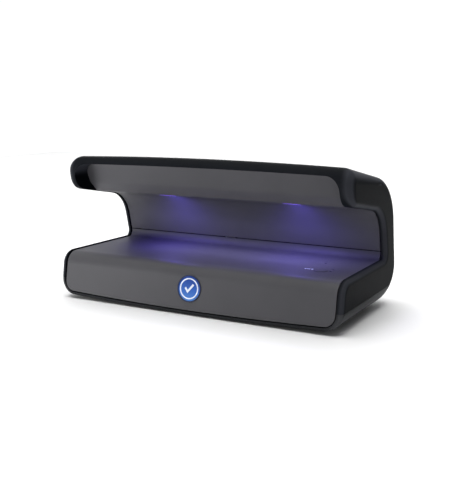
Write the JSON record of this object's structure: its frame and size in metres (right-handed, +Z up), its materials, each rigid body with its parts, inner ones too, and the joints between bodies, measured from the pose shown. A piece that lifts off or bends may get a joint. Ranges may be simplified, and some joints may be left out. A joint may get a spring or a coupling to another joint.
{
  "type": "counterfeit bill detector",
  "caption": "Desktop ultraviolet note checker: C-shaped casing over an open note bay, with a lit badge and a small push key.",
  "frame": {"origin": "on the table, under the middle of the detector's bounding box", "axes": "+X across the note bay, +Y to the rear, +Z up"},
  "size_m": [0.209, 0.1024, 0.0987],
  "materials": {
    "black_plastic": "satin, fine grain",
    "cover_plastic": "satin, fine grain",
    "grey_plastic": "satin, fine grain",
    "dark_bezel": "gloss",
    "blue_lens": "translucent, lit from behind",
    "white_print": "printed",
    "white_plastic": "moulded",
    "circuit_board": "solder mask",
    "black_plastic_part": "moulded",
    "clear_lens": "smoked",
    "aluminium_board": "white mask on aluminium",
    "led_ceramic": "ceramic with a clear dome",
    "bright_metal": "bright",
    "filter_glass": "dark violet filter",
    "ferrite": "ferrite",
    "can_metal": "sleeveless can",
    "socket_steel": "nickel plated",
    "ribbon_film": "flat flex",
    "screw_steel": "zinc plated",
    "foot_rubber": "matt rubber",
    "label_film": "blank film"
  },
  "bodies": {
    "housing": {"outer_shell": "black_plastic", "bottom_cover": "cover_plastic", "lower_panel": "grey_plastic", "upper_panel": "grey_plastic", "badge_ring": "dark_bezel", "badge_lens": "blue_lens", "badge_emblem": "white_print", "badge_light_box": "white_plastic", "badge_board": "circuit_board", "badge_led": "white_plastic", "key_switch": "black_plastic_part", "key_board": "circuit_board", "indicator_lenses": "clear_lens", "indicator_leds": "white_plastic", "ir_sensor": "black_plastic_part", "uv_board": "aluminium_board", "uv_leds": "led_ceramic", "uv_reflectors": "bright_metal", "uv_windows": "filter_glass", "main_board": "circuit_board", "chips": "black_plastic_part", "inductor": "ferrite", "capacitors": "can_metal", "connectors": "white_plastic", "key_connector": "white_plastic", "lamp_connector": "white_plastic", "power_socket": "socket_steel", "socket_tongue": "black_plastic_part", "canopy_ribbon": "ribbon_film", "badge_ribbon": "ribbon_film", "key_ribbon": "ribbon_film", "cover_screws": "screw_steel", "board_screws": "screw_steel", "key_board_screws": "screw_steel", "lamp_screws": "screw_steel", "rubber_feet": "foot_rubber", "rating_label": "label_film"},
    "key": {"mode_key": "grey_plastic", "key_plunger": "black_plastic_part"}
  },
  "joints": [
    {"name": "key_press", "type": "slide", "parent": "housing", "child": "key", "axis": [0, 0, -1], "range_m": [0, 0.0006], "stiffness_N_per_m": 600, "springref_m": -0.0003}
  ]
}
